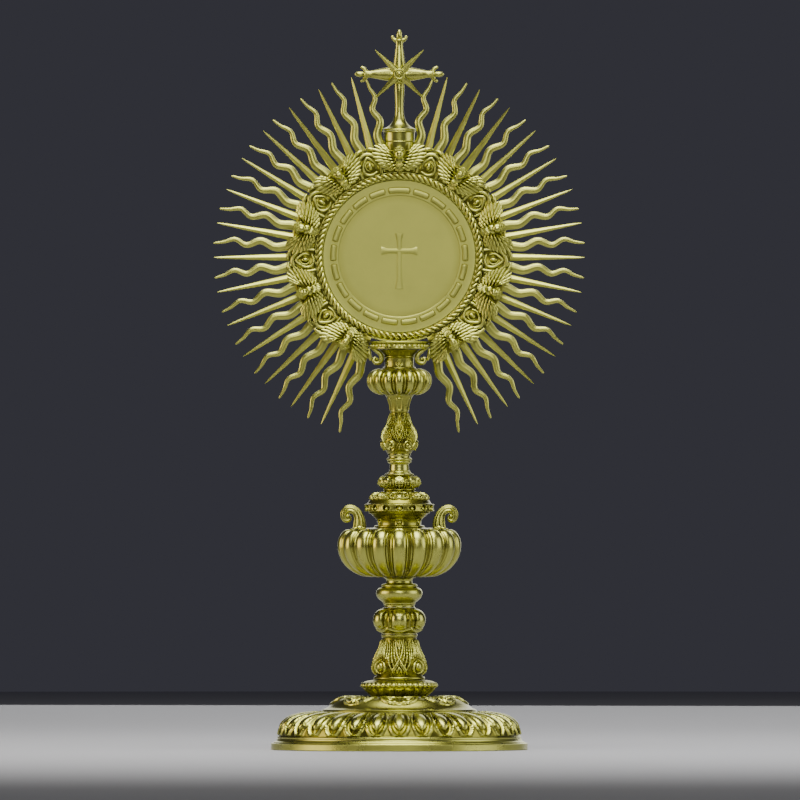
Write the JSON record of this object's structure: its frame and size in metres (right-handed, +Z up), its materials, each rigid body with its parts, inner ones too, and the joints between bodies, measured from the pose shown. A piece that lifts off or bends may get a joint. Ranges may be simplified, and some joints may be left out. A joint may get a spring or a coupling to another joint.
{
  "type": "monstrance",
  "caption": "Gilt sunburst altar monstrance: round foot, urn stem, ray-set display case with winged-head wreath, rear door with turn-button, and budded cross on top.",
  "frame": {"origin": "middle of the foot's underside, on the surface the monstrance stands on", "axes": "+Z up, -Y towards the viewer in front of the display disc, +X to that viewer's right"},
  "size_m": [0.309, 0.214, 0.6],
  "materials": {
    "gilt_brass": "satin to polished gilt, darker in the hollows",
    "satin_gilt": "fine matt gilt with a satin sheen",
    "steel": "plain bright steel"
  },
  "bodies": {
    "stand": {"case_drum": "gilt_brass", "cherub_1": "gilt_brass", "cherub_2": "gilt_brass", "cherub_3": "gilt_brass", "cherub_4": "gilt_brass", "cherub_5": "gilt_brass", "cherub_6": "gilt_brass", "cherub_7": "gilt_brass", "cherub_8": "gilt_brass", "cherub_9": "gilt_brass", "cloud_wreath": "gilt_brass", "cross_arms": "gilt_brass", "cross_boss": "gilt_brass", "cross_shaft": "gilt_brass", "cross_socket": "gilt_brass", "cross_star": "gilt_brass", "disc_ring": "gilt_brass", "disc_snap_ring": "steel", "display_disc": "satin_gilt", "foot_dome": "gilt_brass", "foot_gadroon_shell": "gilt_brass", "foot_nut": "steel", "foot_rim": "gilt_brass", "foot_washer": "steel", "handle_left": "gilt_brass", "handle_right": "gilt_brass", "head_socket": "gilt_brass", "head_tang": "gilt_brass", "hinge_pin": "steel", "latch_screw": "steel", "leaf_dish": "gilt_brass", "lid_knop": "gilt_brass", "lobed_knop": "gilt_brass", "lower_baluster": "gilt_brass", "neck_collar": "gilt_brass", "oval_band": "gilt_brass", "rear_ring": "gilt_brass", "ring_knop": "gilt_brass", "ring_screw_1": "steel", "ring_screw_2": "steel", "ring_screw_3": "steel", "ring_screw_4": "steel", "rope_bezel": "gilt_brass", "socket_cup": "gilt_brass", "straight_rays": "gilt_brass", "tie_rod": "steel", "upper_baluster": "gilt_brass", "upper_knop": "gilt_brass", "urn_bowl": "gilt_brass", "urn_lid": "gilt_brass", "urn_neck": "gilt_brass", "wavy_rays": "gilt_brass"},
    "door": {"rear_door": "gilt_brass", "door_knob": "gilt_brass"},
    "latch": {"latch_bar": "gilt_brass"}
  },
  "joints": [
    {"name": "rear_door_hinge", "type": "hinge", "parent": "stand", "child": "door", "pos_m": [0.0765, 0.0153, 0.411], "axis": [0, 0, -1], "range_deg": [0, 120]},
    {"name": "turn_button", "type": "hinge", "parent": "stand", "child": "latch", "pos_m": [-0.076, 0.0176, 0.411], "axis": [0, 1, 0], "range_deg": [0, 90]}
  ]
}
